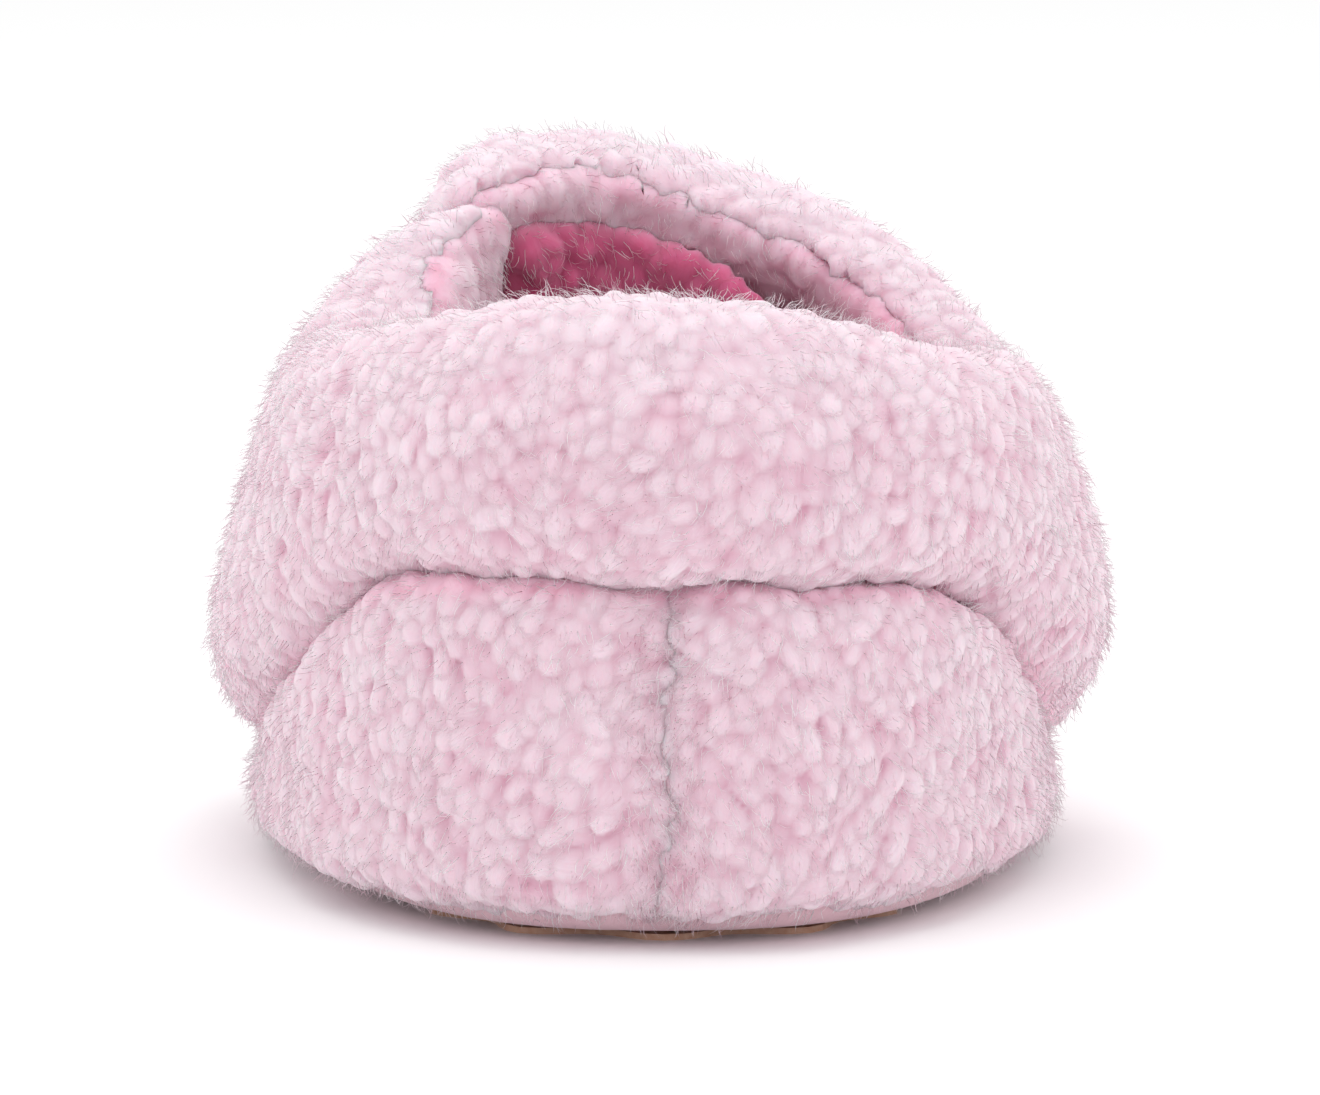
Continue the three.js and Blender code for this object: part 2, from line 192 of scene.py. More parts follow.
def sherpa(name, root, tip, bright, deep=None, top_highlight=None):
    """Polyester sherpa pile: fine fibres run along each lock, and its root colour is painted shade, so each lock is
    pinker and darker low down and whiter at its tip.

    With a deep colour, the pile is painted that colour low down inside the bootie, as painted shade in the cavity.
    """
    material, tree, shader = new_material(
        name, Roughness=0.95, IOR=1.5, Specular_IOR_Level=0.1, Sheen_Weight=0.3, Sheen_Roughness=0.6,
        Sheen_Tint=srgb("FFF4F8"), Subsurface_Weight=0.9, Subsurface_Radius=(1.0, 0.65, 0.75),
        Subsurface_Scale=0.002)
    along = add_node(tree, "ShaderNodeAttribute", {"attribute_name": "tip"})
    shade = add_node(tree, "ShaderNodeAttribute", {"attribute_name": "shade"})
    strand = add_node(tree, "ShaderNodeAttribute", {"attribute_name": "strand"})
    fibres = add_node(tree, "ShaderNodeTexNoise", Vector=strand.outputs["Vector"], Scale=1.0, Detail=3.0)
    # The colour by lock height is painted shade: darker, pinker roots in the crevices between locks, whiter tips.
    ramp = add_node(tree, "ShaderNodeValToRGB", Fac=along.outputs["Fac"])
    ramp.color_ramp.elements[0].color = srgb(root)
    ramp.color_ramp.elements[0].position = 0.1
    ramp.color_ramp.elements[1].color = srgb(tip)
    ramp.color_ramp.elements[1].position = 0.75
    pale = add_node(tree, "ShaderNodeMix", {"data_type": "RGBA"}, i6=ramp.outputs["Color"], i7=srgb(bright))
    amount = add_node(tree, "ShaderNodeMath", {"operation": "MULTIPLY"}, i0=shade.outputs["Fac"],
                      i1=fibres.outputs["Fac"])
    tree.links.new(amount.outputs[0], pale.inputs[0])
    place = add_node(tree, "ShaderNodeTexCoord")
    height = add_node(tree, "ShaderNodeSeparateXYZ", Vector=place.outputs["Object"])
    # Near a seam the colour is painted a brighter, pinker tone: painted bounce light in the seam crevices.
    seam = add_node(tree, "ShaderNodeAttribute", {"attribute_name": "seam"})
    bounce_light_amount = add_node(tree, "ShaderNodeMath", {"operation": "MULTIPLY"}, i0=seam.outputs["Fac"], i1=0.5)
    sewn = add_node(tree, "ShaderNodeMix", {"data_type": "RGBA"}, i0=bounce_light_amount.outputs[0], i6=pale.outputs[2],
                    i7=srgb("FFBCD4"))
    colour = sewn.outputs[2]
    # The top colour makes the upper edge paler: a painted highlight where light falls from above.
    if top_highlight:
        brushed = add_node(tree, "ShaderNodeMapRange", Value=height.outputs["Z"])
        brushed.inputs["From Min"].default_value = 0.048
        brushed.inputs["From Max"].default_value = 0.064
        brushed.inputs["To Max"].default_value = 0.6
        highlighted_top = add_node(tree, "ShaderNodeMix", {"data_type": "RGBA"}, i0=brushed.outputs["Result"],
                          i6=colour, i7=srgb(top_highlight))
        colour = highlighted_top.outputs[2]
    # The deep colour darkens the pile low inside the bootie: painted shade in the cavity.
    if deep:
        inside = add_node(tree, "ShaderNodeMapRange", Value=height.outputs["Z"])
        inside.inputs["From Min"].default_value = 0.044
        inside.inputs["From Max"].default_value = 0.06
        mixed = add_node(tree, "ShaderNodeMix", {"data_type": "RGBA"}, i0=inside.outputs["Result"],
                         i6=srgb(deep), i7=colour)
        colour = mixed.outputs[2]
    raised = add_node(tree, "ShaderNodeMapRange", Value=along.outputs["Fac"])
    raised.inputs["From Min"].default_value = 0.3
    raised.inputs["From Max"].default_value = 0.8
    raised.inputs["To Max"].default_value = 0.6
    bump = add_node(tree, "ShaderNodeBump", Height=fibres.outputs["Fac"], Strength=raised.outputs["Result"],
                    Distance=0.00025)
    tree.links.new(colour, shader.inputs["Base Color"])
    tree.links.new(bump.outputs["Normal"], shader.inputs["Normal"])
    return material


def loose_fibre(name, colour):
    """Single drawn polyester fibres: matt, and so fine that light shows through them."""
    material, tree, shader = new_material(name, Roughness=0.8, IOR=1.5, Specular_IOR_Level=0.2)
    shade = add_node(tree, "ShaderNodeAttribute", {"attribute_name": "shade"})
    mixed = add_node(tree, "ShaderNodeMix", {"data_type": "RGBA"}, i0=shade.outputs["Fac"],
                     i6=srgb(colour), i7=srgb("FFFFFF"))
    through = add_node(tree, "ShaderNodeBsdfTranslucent", Color=mixed.outputs[2])
    both = add_node(tree, "ShaderNodeMixShader", i0=0.5, i1=shader.outputs[0], i2=through.outputs[0])
    tree.links.new(mixed.outputs[2], shader.inputs["Base Color"])
    tree.links.new(both.outputs[0], tree.nodes["Material Output"].inputs["Surface"])
    return material


def brushed_suede(name, colour, worn):
    """Buffed suede: a short nap with a fine grain of about 0.3 mm and soft clouds where it is brushed."""
    material, tree, shader = new_material(
        name, Roughness=0.85, IOR=1.5, Specular_IOR_Level=0.2, Sheen_Weight=0.4, Sheen_Roughness=0.4,
        Sheen_Tint=srgb("FFF0F4"))
    place = add_node(tree, "ShaderNodeTexCoord")
    clouds = add_node(tree, "ShaderNodeTexNoise", Vector=place.outputs["Object"], Scale=90.0, Detail=4.0)
    grain = add_node(tree, "ShaderNodeTexNoise", Vector=place.outputs["Object"], Scale=2600.0, Detail=4.0)
    mixed = add_node(tree, "ShaderNodeMix", {"data_type": "RGBA"}, i0=clouds.outputs["Fac"], i6=srgb(worn), i7=srgb(colour))
    bump = add_node(tree, "ShaderNodeBump", Height=grain.outputs["Fac"], Strength=0.35, Distance=0.0002)
    tree.links.new(mixed.outputs[2], shader.inputs["Base Color"])
    tree.links.new(bump.outputs["Normal"], shader.inputs["Normal"])
    return material


def plain_weave(name, colour, dark, pitch):
    """A woven band: two sets of threads, pitch millimetres apart."""
    material, tree, shader = new_material(name, Roughness=0.8, IOR=1.5, Specular_IOR_Level=0.2, Sheen_Weight=0.2)
    place = add_node(tree, "ShaderNodeTexCoord")
    sized = add_node(tree, "ShaderNodeMapping", Vector=place.outputs["Object"], Scale=(1000 / pitch,) * 3)
    threads = add_node(tree, "ShaderNodeTexBrick", Vector=sized.outputs["Vector"], Scale=0.5, Mortar_Size=0.06,
                       Color1=srgb(colour), Color2=srgb(colour), Mortar=srgb(dark))
    bump = add_node(tree, "ShaderNodeBump", Height=threads.outputs["Fac"], Strength=0.5, Distance=0.0002)
    bump.invert = True
    tree.links.new(threads.outputs["Color"], shader.inputs["Base Color"])
    tree.links.new(bump.outputs["Normal"], shader.inputs["Normal"])
    return material


def printed_rubber(name, colour, dark):
    """A screen-printed rubber grip, matt, with specks about 0.5 mm across."""
    material, tree, shader = new_material(name, Roughness=0.65, IOR=1.52, Specular_IOR_Level=0.35)
    place = add_node(tree, "ShaderNodeTexCoord")
    specks = add_node(tree, "ShaderNodeTexNoise", Vector=place.outputs["Object"], Scale=1400.0, Detail=2.0)
    mixed = add_node(tree, "ShaderNodeMix", {"data_type": "RGBA"}, i0=specks.outputs["Fac"], i6=srgb(dark), i7=srgb(colour))
    bump = add_node(tree, "ShaderNodeBump", Height=specks.outputs["Fac"], Strength=0.3, Distance=0.0001)
    tree.links.new(mixed.outputs[2], shader.inputs["Base Color"])
    tree.links.new(bump.outputs["Normal"], shader.inputs["Normal"])
    return material


def open_foam(name, colour, dark):
    """Cut foam and wadding, with cells about 0.8 mm across."""
    material, tree, shader = new_material(name, Roughness=0.95, IOR=1.5, Specular_IOR_Level=0.1)
    place = add_node(tree, "ShaderNodeTexCoord")
    cells = add_node(tree, "ShaderNodeTexVoronoi", Vector=place.outputs["Object"], Scale=1250.0)
    mixed = add_node(tree, "ShaderNodeMix", {"data_type": "RGBA"}, i0=cells.outputs["Distance"], i6=srgb(dark), i7=srgb(colour))
    bump = add_node(tree, "ShaderNodeBump", Height=cells.outputs["Distance"], Strength=0.5, Distance=0.0003)
    tree.links.new(mixed.outputs[2], shader.inputs["Base Color"])
    tree.links.new(bump.outputs["Normal"], shader.inputs["Normal"])
    return material


# The outer pile's top colour E8DAE2 is a painted highlight on its upper edge.
outer_pile = sherpa("pale pink sherpa pile", "D49CB2", "DFC5D0", "EADBE3", top_highlight="E8DAE2")
# The inner pile's deep colour B95A7E is painted shade low inside the bootie.
inner_pile = sherpa("inner sherpa pile", "D49CB2", "E4C8D4", "EEDCE5", "B95A7E")
# The tongue's darker pile is painted shade deep in the cavity.
shaded_pile = sherpa("shaded sherpa pile", "A83A64", "CA6088", "D67898")
outer_wisps = loose_fibre("pale loose fibres", "F6E2EA")
# The seam fibres are pinker than the rest: painted shade in the heel's seam crevice.
seam_wisps = loose_fibre("pink seam fibres", "F3CFDC")
inner_wisps = loose_fibre("inner loose fibres", "EFC9D6")
suede = brushed_suede("brushed pink suede", "E6C8D0", "D9B2BC")
grip = printed_rubber("tan printed grip", "DDBBA6", "B98468")
foam = open_foam("white foam", "F4EFE8", "D8CFC4")
elastic = plain_weave("woven elastic", "F2E4E8", "C9A5B0", 0.8)
sewing_thread = plain_weave("twisted thread", "E2A9B8", "B97F90", 0.4)
loop_cloth = plain_weave("loop tape", "F2DDE4", "CFA3B2", 0.5)
hook_cloth = plain_weave("hook tape", "F2E8EB", "CDB3BC", 0.9)


# --- Fleece ---

def puff_up(piece, pressure, most):
    """Blows the panel up as cloth. No point moves further than most, in metres."""
    start = points_of(piece)
    only(piece)
    cloth = piece.modifiers.new("Puff", "CLOTH")
    cloth.settings.use_pressure = True
    cloth.settings.uniform_pressure_force = pressure
    cloth.settings.effector_weights.gravity = 0
    cloth.point_cache.frame_start = 1
    cloth.point_cache.frame_end = 20
    for step in range(1, 21):
        bpy.context.scene.frame_set(step)
    bpy.ops.object.modifier_apply(modifier=cloth.name)
    bpy.context.scene.frame_set(1)
    moved = points_of(piece) - start
    length = np.linalg.norm(moved, axis=1, keepdims=True)
    set_points(piece, start + moved * np.minimum(1, most / np.maximum(length, 1e-9)))


def settle(panel):
    """Lets the upper relax as one: it narrows towards the ankle, and the crease wavers and lifts."""
    points = points_of(panel)
    points[:, 0] *= 1 - ANKLE_NARROWING * soft_step(points[:, 2], 18 * MM, 42 * MM)
    near = np.exp(-((points[:, 2] - CREASE_HEIGHT * MM) / (8 * MM)) ** 2) * soft_step(points[:, 1], 0.02, 0.045)
    waver = np.array([noise.noise(Vector((x / 0.012, 0.4, 2.2))) for x in points[:, 0]])
    points[:, 2] += near * (0.9 + 2.2 * waver) * MM
    points[:, 0] *= 1 - (1 - soft_step(points[:, 2], 14 * MM, 34 * MM)) * np.where(points[:, 0] < 0, 0.07, 0.02)
    shoulder = np.exp(-np.sum((points - np.array(SHOULDER) * MM) ** 2, axis=1) / (12 * MM) ** 2)
    points += shoulder[:, None] * np.array(SHOULDER_SWELL) * MM
    set_points(panel, points)


def fleece_panel(node, name, puff=0.7, swell=SEAM_SWELL):
    """A sewn panel of fleece: the CAD solid rounded off and puffed up, with soft uneven folds."""
    panel = copy_of(node, name)
    panel["made_from"] = node
    apply_modifier(panel, "REMESH", mode="VOXEL", voxel_size=1.3 * MM)
    puff_up(panel, 4, puff * MM)
    apply_modifier(panel, "SMOOTH", iterations=4, factor=0.5)
    folds = bpy.data.textures.new(name, "CLOUDS")
    folds.noise_scale = 9 * MM
    apply_modifier(panel, "DISPLACE", texture=folds, strength=1.6 * MM, mid_level=0.5 - swell / 1.6)
    settle(panel)
    return panel


def lock_centres(points, cover, rng, spacing):
    """Picks points at least spacing apart among those that the pile covers."""
    tree = KDTree(len(points))
    for index, point in enumerate(points):
        tree.insert(point, index)
    tree.balance()
    free = cover > 0.5
    chosen = []
    for index in rng.permutation(len(points)):
        if not free[index]:
            continue
        chosen.append(index)
        for _, near, _ in tree.find_range(points[index], spacing):
            free[near] = False
    return tree, chosen


def curl_up(panel, centre, outwards, seed, grain=PILE_GRAIN, spacing=LOCK_SPACING, depth=LOCK_DEPTH):
    """Raises locks of curled pile all over a panel. Each one swells towards its tip and hangs over."""
    apply_modifier(panel, "REMESH", mode="VOXEL", voxel_size=grain * MM)
    apply_modifier(panel, "SMOOTH", iterations=3, factor=0.5)
    comb(panel, centre, outwards)
    rng = np.random.default_rng(seed)
    points, normals = points_of(panel), normals_of(panel)
    flow, cover = values_of(panel, "flow", 3), values_of(panel, "cover", 1)
    tree, chosen = lock_centres(points, cover, rng, spacing * MM)
    height = np.zeros(len(points))
    shade = np.full(len(points), 0.3)
    strand = np.zeros((len(points), 3))
    for index in chosen:
        turn = rng.normal(0, 0.45)
        across = np.cross(normals[index], flow[index])
        ahead = flow[index] * math.cos(turn) + across * math.sin(turn)
        across = np.cross(normals[index], ahead)
        wide = spacing * MM * rng.uniform(0.55, 0.95)
        long = spacing * MM * rng.uniform(0.95, 1.5)
        tall, tint = rng.uniform(0.55, 1.15), rng.uniform(0, 1)
        near = np.array([found[1] for found in tree.find_range(points[index], long * 1.15)])
        offset = points[near] - points[index]
        u, v = offset @ across / wide, offset @ ahead / long
        rise = soft_step(v, -1.05, 0.35) * np.sqrt(np.clip(1 - np.clip((v - 0.3) / 0.75, 0, 1) ** 2, 0, 1))
        lock = tall * rise * np.sqrt(np.clip(1 - u * u, 0, 1))
        higher = near[lock > height[near]]
        inside = lock > height[near]
        height[higher] = lock[inside]
        shade[higher] = tint
        strand[higher] = np.stack([u[inside] * 3.2, v[inside] * 0.9, np.full(inside.sum(), tint * 50)], axis=1)
    height = smoothed(panel, smoothed(panel, height))
    set_points(panel, points + (normals + flow * LOCK_OVERHANG) * (height * depth * MM * cover)[:, None])
    store(panel, "tip", height)
    # The seam share marks where the pile is painted a brighter pink: painted bounce light.
    store(panel, "seam", seam_bounce_share(panel))
    store(panel, "shade", shade)
    store(panel, "strand", strand)


def smoothed(panel, values):
    """Each point's value averaged with its neighbours' along the mesh's edges."""
    mesh = panel.data
    edges = np.empty(len(mesh.edges) * 2, int)
    mesh.edges.foreach_get("vertices", edges)
    a, b = edges.reshape(-1, 2).T
    total, count = np.zeros(len(values)), np.zeros(len(values))
    for one, other in ((a, b), (b, a)):
        np.add.at(total, one, values[other])
        np.add.at(count, one, 1)
    return 0.5 * values + 0.5 * total / np.maximum(count, 1)


def normals_of(panel):
    normals = np.empty(len(panel.data.vertices) * 3)
    panel.data.vertices.foreach_get("normal", normals)
    return normals.reshape(-1, 3)


def values_of(panel, name, size):
    values = np.empty(len(panel.data.vertices) * size, np.float32)
    panel.data.attributes[name].data.foreach_get("value" if size == 1 else "vector", values)
    return values.astype(float) if size == 1 else values.reshape(-1, size).astype(float)


def store(panel, name, values):
    values = np.asarray(values, np.float32)
    kind = "FLOAT" if values.ndim == 1 else "FLOAT_VECTOR"
    attribute = panel.data.attributes.new(name, kind, "POINT")
    attribute.data.foreach_set("value" if values.ndim == 1 else "vector", values.ravel())


def soft_step(value, start, end):
    """0 before start and 1 past end, for a whole array."""
    share = np.clip((value - start) / (end - start), 0, 1)
    return share * share * (3 - 2 * share)


def droop(panel, low, high, down, out):
    """Lets the foot of a panel sag by down and swell by out, in millimetres. It fades from low to high."""
    points = points_of(panel)
    amount = 1 - soft_step(points[:, 2], low * MM, high * MM)
    points[:, 2] -= amount * down * MM
    flat = points[:, :2] / np.maximum(np.linalg.norm(points[:, :2], axis=1, keepdims=True), 1e-9)
    points[:, :2] += flat * (amount * out * MM)[:, None]
    set_points(panel, points)




def close_mouth(panel, inwards):
    """Leans the panel's top edge towards the ankle by inwards, in millimetres, to meet its neighbour."""
    points = points_of(panel)
    aside = points[:, :2] - np.array([0, 0.02])
    aside /= np.maximum(np.linalg.norm(aside, axis=1, keepdims=True), 1e-9)
    points[:, :2] -= aside * (soft_step(points[:, 2], 50 * MM, 60 * MM) * inwards * MM)[:, None]
    set_points(panel, points)


def reach_vamp(panel):
    """Draws the flap's lower edge down over the vamp's seam."""
    points = points_of(panel)
    down = np.array(TO_TOE)
    along = points @ down
    middle = 0.5 * (along.min() + along.max())
    points += np.clip(along - middle, 0, None)[:, None] * 0.16 * down
    set_points(panel, points)


def meet_at_seam(panel):
    """Draws the heel cup's panel over to the back seam."""
    points = points_of(panel)
    near = 1 - soft_step(np.abs(points[:, 0]), 1 * MM, 9 * MM)
    points[:, 0] -= np.sign(points[:, 0]) * near * 2.1 * MM
    points[:, 1] += near * soft_step(points[:, 1], 0.05, 0.056) * 1.0 * MM
    set_points(panel, points)


def fill_crease(panel):
    """Swells the top of the heel cup's panel out under the collar."""
    points = points_of(panel)
    flat = points[:, :2] / np.maximum(np.linalg.norm(points[:, :2], axis=1, keepdims=True), 1e-9)
    points[:, :2] += flat * (soft_step(points[:, 2], 24 * MM, 33 * MM) * 1.4 * MM)[:, None]
    set_points(panel, points)


def seam_bounce_share(panel):
    """1 where the panel is sewn against another one, and 0 from SEAM_REACH on."""
    # This share sets where the pile is painted a brighter pink: painted bounce light in the seams.
    nearest = np.full(len(panel.data.vertices), 1.0)
    for node in SEWN_PANELS:
        if node != panel["made_from"]:
            mesh = frame["nodes"][node].data
            tree = BVHTree.FromPolygons([v.co for v in mesh.vertices], [f.vertices for f in mesh.polygons])
            found = [tree.find_nearest(v.co, 0.01)[3] for v in panel.data.vertices]
            nearest = np.minimum(nearest, [1.0 if distance is None else distance for distance in found])
    return 1 - soft_step(nearest, 0.6 * MM, SEAM_REACH * MM)


def reach_root(panel):
    """Draws the flap's sewn end over the fold, up against the collar."""
    points = points_of(panel)
    along = (points - np.array(HINGE)) @ np.array(TO_COLLAR)
    pull = np.clip(along + 5 * MM, 0, None) * 0.6
    set_points(panel, points + pull[:, None] * np.array(TO_COLLAR))


def finished_lock(name, vertices, faces, tips):
    mesh = bpy.data.meshes.new(name)
    mesh.from_pydata([v * MM for v in vertices], [], faces)
    mesh.attributes.new("tip", "FLOAT", "POINT").data.foreach_set("value", tips)
    return bpy.data.objects.new(name, mesh)


def tube(middles, radii, sides, turn, lobes, vertices, faces):
    """Adds a closed tube of rings to a mesh, ending in a point."""
    first = len(vertices)
    for ring, (middle, radius) in enumerate(zip(middles[:-1], radii)):
        for side in range(sides):
            angle = 2 * math.pi * side / sides + turn * (1 + 0.25 * ring)
            reach = radius * (1 + (lobes if side % 2 else -lobes))
            vertices.append(middle + Vector((math.cos(angle), math.sin(angle), 0)) * reach)
    rings = len(middles) - 1
    for ring in range(rings - 1):
        for side in range(sides):
            a = first + ring * sides + side
            b = first + ring * sides + (side + 1) % sides
            faces.append((a, b, b + sides, a + sides))
    top = len(vertices)
    vertices.append(middles[-1])
    for side in range(sides):
        faces.append((top - sides + side, top - sides + (side + 1) % sides, top))
    faces.append(tuple(first + side for side in reversed(range(sides))))


def wisp(name, seed):
    """A few loose fine fibres that stand out of the pile."""
    rng = np.random.default_rng(seed)
    shares = (0, 0.35, 0.7, 1)
    vertices, faces, tips = [], [], []
    for fibre in range(WISP_FIBRES):
        angle = 2.4 * fibre
        base = Vector((math.cos(angle), math.sin(angle), 0)) * WISP_SPREAD * math.sqrt((fibre + 0.5) / WISP_FIBRES)
        length = WISP_LENGTH * rng.uniform(0.6, 1.25)
        lean = Vector((rng.uniform(-0.3, 1.3), rng.uniform(-0.7, 0.7), 0))
        hook = Vector((rng.uniform(-1, 1), rng.uniform(-1, 1), 0)) * 0.9
        middles = [base + lean * length * t ** 1.5 * 0.6 + hook * t ** 3 + Vector((0, 0, length * (t - 0.3 * t ** 2)))
                   for t in shares]
        tube(middles, [WISP_FIBRE_RADIUS * g for g in (1, 0.9, 0.7)], 3, fibre, 0, vertices, faces)
        tips += [0.55 + 0.45 * t for t in shares[:-1] for _ in range(3)] + [1.0]
    return finished_lock(name, vertices, faces, tips)


def comb(panel, centre, outwards):
    """Stores where the pile grows on a panel, and which way it leans: down the panel, in soft swirls."""
    points, normals = points_of(panel), normals_of(panel)
    away = (points - np.array([centre(p) for p in points])) * (1 if outwards else -1)
    away /= np.maximum(np.linalg.norm(away, axis=1, keepdims=True), 1e-9)
    facing = (away * normals).sum(axis=1)
    swirl = np.array([noise.noise_vector(Vector(p) / 0.014) for p in points])
    flow = np.array([0.25, 0, -1.0]) + 1.3 * swirl
    flow -= normals * (flow * normals).sum(axis=1, keepdims=True)
    flow /= np.maximum(np.linalg.norm(flow, axis=1, keepdims=True), 1e-9)
    store(panel, "cover", soft_step(facing, -0.65, -0.35))
    store(panel, "flow", flow)
    store(panel, "lean", normals + LEAN * flow)


def pile_nodes(name, tufts, material, spacing, size, seed):
    """Geometry nodes that stand locks of pile on a combed panel."""
    tree = bpy.data.node_groups.new(name, "GeometryNodeTree")
    tree.interface.new_socket("Geometry", in_out="INPUT", socket_type="NodeSocketGeometry")
    tree.interface.new_socket("Geometry", in_out="OUTPUT", socket_type="NodeSocketGeometry")
    start = add_node(tree, "NodeGroupInput")
    end = add_node(tree, "NodeGroupOutput")
    cover = add_node(tree, "GeometryNodeInputNamedAttribute", {"data_type": "FLOAT"}, Name="cover")
    lean = add_node(tree, "GeometryNodeInputNamedAttribute", {"data_type": "FLOAT_VECTOR"}, Name="lean")
    flow = add_node(tree, "GeometryNodeInputNamedAttribute", {"data_type": "FLOAT_VECTOR"}, Name="flow")
    points = add_node(tree, "GeometryNodeDistributePointsOnFaces", {"distribute_method": "POISSON"},
                      Mesh=start.outputs[0], Density_Factor=cover.outputs[0], Seed=seed)
    points.inputs["Distance Min"].default_value = spacing * MM
    points.inputs["Density Max"].default_value = 3 / (spacing * MM) ** 2
    wobble = add_node(tree, "FunctionNodeRandomValue", {"data_type": "FLOAT_VECTOR"}, Seed=seed + 1)
    wobble.inputs[0].default_value = (-0.35,) * 3
    wobble.inputs[1].default_value = (0.35,) * 3
    leant = add_node(tree, "ShaderNodeVectorMath", {"operation": "ADD"}, i0=lean.outputs[0], i1=wobble.outputs[0])
    upright = add_node(tree, "FunctionNodeAlignRotationToVector", {"axis": "Z"}, Vector=leant.outputs[0])
    combed = add_node(tree, "FunctionNodeAlignRotationToVector", {"axis": "X", "pivot_axis": "Z"},
                      Rotation=upright.outputs[0], Vector=flow.outputs[0])
    turn = add_node(tree, "FunctionNodeRandomValue", {"data_type": "FLOAT"}, Seed=seed + 2)
    turn.inputs[2].default_value = -1.0
    turn.inputs[3].default_value = 1.0
    twist = add_node(tree, "FunctionNodeAxisAngleToRotation", Axis=(0, 0, 1), Angle=turn.outputs[1])
    turned = add_node(tree, "FunctionNodeRotateRotation", {"rotation_space": "LOCAL"},
                      Rotation=combed.outputs[0], Rotate_By=twist.outputs[0])
    variants = add_node(tree, "GeometryNodeCollectionInfo", Collection=tufts, Separate_Children=True, Reset_Children=True)
    grown = add_node(tree, "FunctionNodeRandomValue", {"data_type": "FLOAT"}, Seed=seed + 3)
    grown.inputs[2].default_value = 0.75 * size
    grown.inputs[3].default_value = 1.25 * size
    standing = add_node(tree, "GeometryNodeInstanceOnPoints", Points=points.outputs["Points"],
                        Instance=variants.outputs[0], Pick_Instance=True, Rotation=turned.outputs[0], Scale=grown.outputs[1])
    tint = add_node(tree, "FunctionNodeRandomValue", {"data_type": "FLOAT"}, Seed=seed + 4)
    shaded = add_node(tree, "GeometryNodeStoreNamedAttribute", {"data_type": "FLOAT", "domain": "INSTANCE"},
                      Geometry=standing.outputs[0], Name="shade", Value=tint.outputs[1])
    real = add_node(tree, "GeometryNodeRealizeInstances", Geometry=shaded.outputs[0])
    dyed = add_node(tree, "GeometryNodeSetMaterial", Geometry=real.outputs[0], Material=material)
    tree.links.new(dyed.outputs[0], end.inputs[0])
    return tree


wisps = bpy.data.collections.new("wisps")
for number in range(WISP_VARIANTS):
    wisps.objects.link(wisp(f"wisp_{number}", 100 + number))


def grow_wisps(panel, name, material, slot, body, seed, keep=None, spacing=WISP_SPACING):
    """Scatters loose fibres over a combed panel, or over the part of it that keep chooses."""
    pile = panel.copy()
    pile.data = panel.data.copy()
    pile.name = pile.data.name = name
    bpy.context.scene.collection.objects.link(pile)
    if keep is not None:
        kept = np.array([keep(p) for p in points_of(pile)], float)
        values = (values_of(pile, "cover", 1) * kept).astype(np.float32)
        pile.data.attributes["cover"].data.foreach_set("value", values)
    only(pile)
    scatter = pile.modifiers.new("Wisps", "NODES")
    scatter.node_group = pile_nodes(name, wisps, material, spacing, 1.0, seed)
    bpy.ops.object.modifier_apply(modifier=scatter.name)
    dress(pile, material, slot, body)


def ankle_axis(point):
    """The nearest point of the line that runs up the middle of the ankle and along the foot."""
    return (0, min(max(point[1], -0.03), 0.026), point[2] if point[2] > 0.02 else 0.02)


# Ankle collar.
collar = fleece_panel("ankle_collar", "collar_fleece")
droop(collar, 7, 12, 1.5, 1)
close_mouth(collar, 1.6)
curl_up(collar, ankle_axis, True, 1)
grow_wisps(collar, "collar_wisps_heel", outer_wisps, "fleece", "bootie", 11, lambda p: p[1] > 0.015)
grow_wisps(collar, "collar_wisps_side", outer_wisps, "fleece", "bootie", 12, lambda p: p[1] <= 0.015)
dress(collar, outer_pile, "fleece", "bootie", "ankle_collar")

# Heel cup and vamp.
for order, side in enumerate(("medial", "lateral")):
    cup = fleece_panel(f"heel_cup_{side}", f"heel_cup_fleece_{side}", swell=1.0)
    droop(cup, 7, 13, 2.5, 1.2)
    meet_at_seam(cup)
    fill_crease(cup)
    curl_up(cup, ankle_axis, True, 2 + order)
    # Pinker fibres along the back seam: painted shade in its crevice.
    grow_wisps(cup, f"heel_seam_wisps_{side}", seam_wisps, "fleece", "bootie", 30 + order,
               lambda p: abs(p[0]) < 0.0035 and p[1] > 0.04, 1.1)
    grow_wisps(cup, f"heel_cup_wisps_{side}", outer_wisps, "fleece", "bootie", 13 + order)
    dress(cup, outer_pile, "fleece", "bootie", f"heel_cup_{side}")
vamp = fleece_panel("vamp", "vamp_fleece", swell=0.9)
droop(vamp, 7, 13, 2, 1)
curl_up(vamp, ankle_axis, True, 4)
grow_wisps(vamp, "vamp_wisps", outer_wisps, "fleece", "bootie", 15)
dress(vamp, outer_pile, "fleece", "bootie", "vamp")

# Flap.
flap = fleece_panel("closure_flap", "flap_fleece", swell=0.8)
reach_root(flap)
reach_vamp(flap)
close_mouth(flap, 0.6)
curl_up(flap, ankle_axis, True, 5)
grow_wisps(flap, "flap_wisps", outer_wisps, "fleece", "flap", 16)
dress(flap, outer_pile, "fleece", "flap", "closure_flap")
flap_lining = fleece_panel("flap_lining", "flap_lining_fleece", 0.3)
reach_root(flap_lining)
reach_vamp(flap_lining)
close_mouth(flap_lining, -0.4)
curl_up(flap_lining, ankle_axis, False, 6)
grow_wisps(flap_lining, "flap_lining_wisps", inner_wisps, "lining", "flap", 17)
dress(flap_lining, inner_pile, "lining", "flap", "flap_lining")

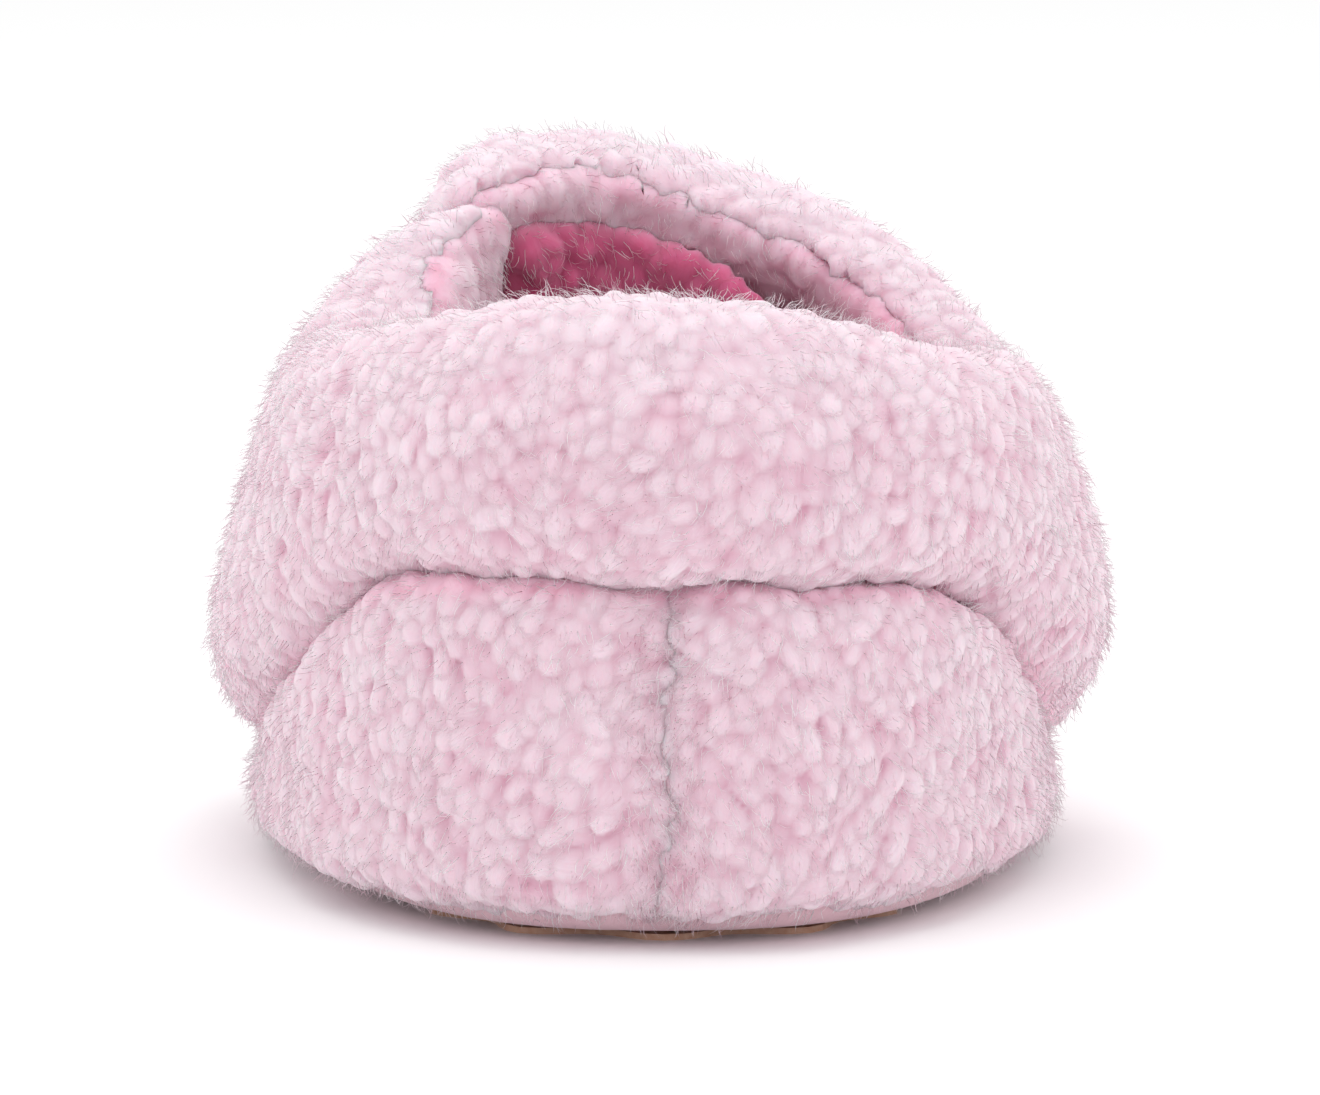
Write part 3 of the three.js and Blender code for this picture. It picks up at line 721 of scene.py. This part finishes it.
# Lining.
for order, (node, inner) in enumerate((("quarter_lining", True), ("toe_lining", False), ("tongue", True), ("fleece_sock", False))):
    name = "footbed_fleece" if node == "fleece_sock" else f"{node}_fleece"
    piece = fleece_panel(node, name, 0.3, 1.1 if node == "quarter_lining" else 0.4)
    if node == "quarter_lining":
        close_mouth(piece, -1.4)
    curl_up(piece, ankle_axis if node != "fleece_sock" else lambda p: (p[0], p[1], 0), node == "fleece_sock",
            7 + order, PILE_GRAIN if node == "tongue" else LINING_GRAIN)
    if inner:
        grow_wisps(piece, f"{node}_wisps", inner_wisps, "lining", "bootie", 18 + order, lambda p: p[2] > 0.03)
    # The tongue takes the darker pile: painted shade deep inside the bootie.
    dress(piece, shaded_pile if node == "tongue" else inner_pile, "lining", "bootie", node)


# --- Sole and trim ---

sole = copy_of("outsole", "suede_sole")
apply_modifier(sole, "REMESH", mode="VOXEL", voxel_size=0.85 * MM)
apply_modifier(sole, "SMOOTH", iterations=6, factor=0.5)
dress(sole, suede, "suede", "bootie", "outsole")
for node, name, grain, material, slot in (("foam_insole", "insole_foam", 0.9, foam, "padding"),
                                          ("collar_wadding", "wadding", 0.9, foam, "padding"),
                                          ("sole_seam_thread", "sole_thread", 0.2, sewing_thread, "thread"),
                                          ("back_seam_tape", "seam_tape", 0.25, elastic, "tape"),
                                          ("heel_elastic", "ankle_elastic", 0.25, elastic, "tape"),
                                          ("loop_patch", "loop_tape", 0.25, loop_cloth, "tape"),
                                          ("hook_patch", "hook_tape", 0.25, hook_cloth, "tape")):
    piece = copy_of(node, name)
    apply_modifier(piece, "REMESH", mode="VOXEL", voxel_size=grain * MM)
    apply_modifier(piece, "SMOOTH", iterations=3, factor=0.5)
    dress(piece, material, slot, "flap" if node == "hook_patch" else "bootie", node)
for node in ("heel_grip_pad", "toe_grip_pad"):
    mesh = frame["nodes"][node].data
    mesh.materials.clear()
    mesh.materials.append(grip)


# --- Studio ---

def studio():
    """A white sweep, a large soft light from above and behind the camera, and a pale sky."""
    bpy.ops.object.select_all(action="DESELECT")
    bpy.ops.mesh.primitive_plane_add(size=8, location=(0, 0, 0))
    floor = bpy.context.object
    floor.name = "studio_floor"
    material, tree, shader = new_material("white sweep", Roughness=1.0, Specular_IOR_Level=0.0)
    shader.inputs["Base Color"].default_value = srgb("FCFCFC")
    floor.data.materials.append(material)
    world = bpy.data.worlds.new("studio sky")
    world.use_nodes = True
    world.node_tree.nodes["Background"].inputs["Color"].default_value = (1, 1, 1, 1)
    world.node_tree.nodes["Background"].inputs["Strength"].default_value = 0.95
    bpy.context.scene.world = world
    for name, place, size, power in (("key", (0.2, 1.0, 1.2), 0.9, 2.5), ("top", (0, 0.1, 1.5), 0.9, 5), ("fill", (-0.9, 0.8, 0.6), 0.8, 0.6)):
        light = bpy.data.lights.new(name, "AREA")
        light.size = size
        light.energy = power
        lamp = bpy.data.objects.new(name, light)
        lamp.location = place
        lamp.rotation_euler = Vector(place).to_track_quat("Z", "Y").to_euler()
        bpy.context.scene.collection.objects.link(lamp)
    bpy.context.scene.view_settings.view_transform = "Standard"


def camera():
    """Looks at the heel from behind and a little above."""
    tilt = math.radians(CAMERA_ELEVATION)
    heel = Vector((0.5 * MM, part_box("outsole")[1][1], 0))
    back = Vector((0, math.cos(tilt), math.sin(tilt)))
    up = Vector((0, -math.sin(tilt), math.cos(tilt)))
    data = bpy.data.cameras.new("camera")
    data.lens = CAMERA_LENS
    data.sensor_width = 36
    view = bpy.data.objects.new("camera", data)
    view.location = heel + up * AIM_ABOVE_FLOOR * MM + back * CAMERA_DISTANCE * MM
    view.rotation_euler = back.to_track_quat("Z", "Y").to_euler()
    bpy.context.scene.collection.objects.link(view)
    bpy.context.scene.camera = view


studio()
camera()
bpy.data.collections.remove(wisps)
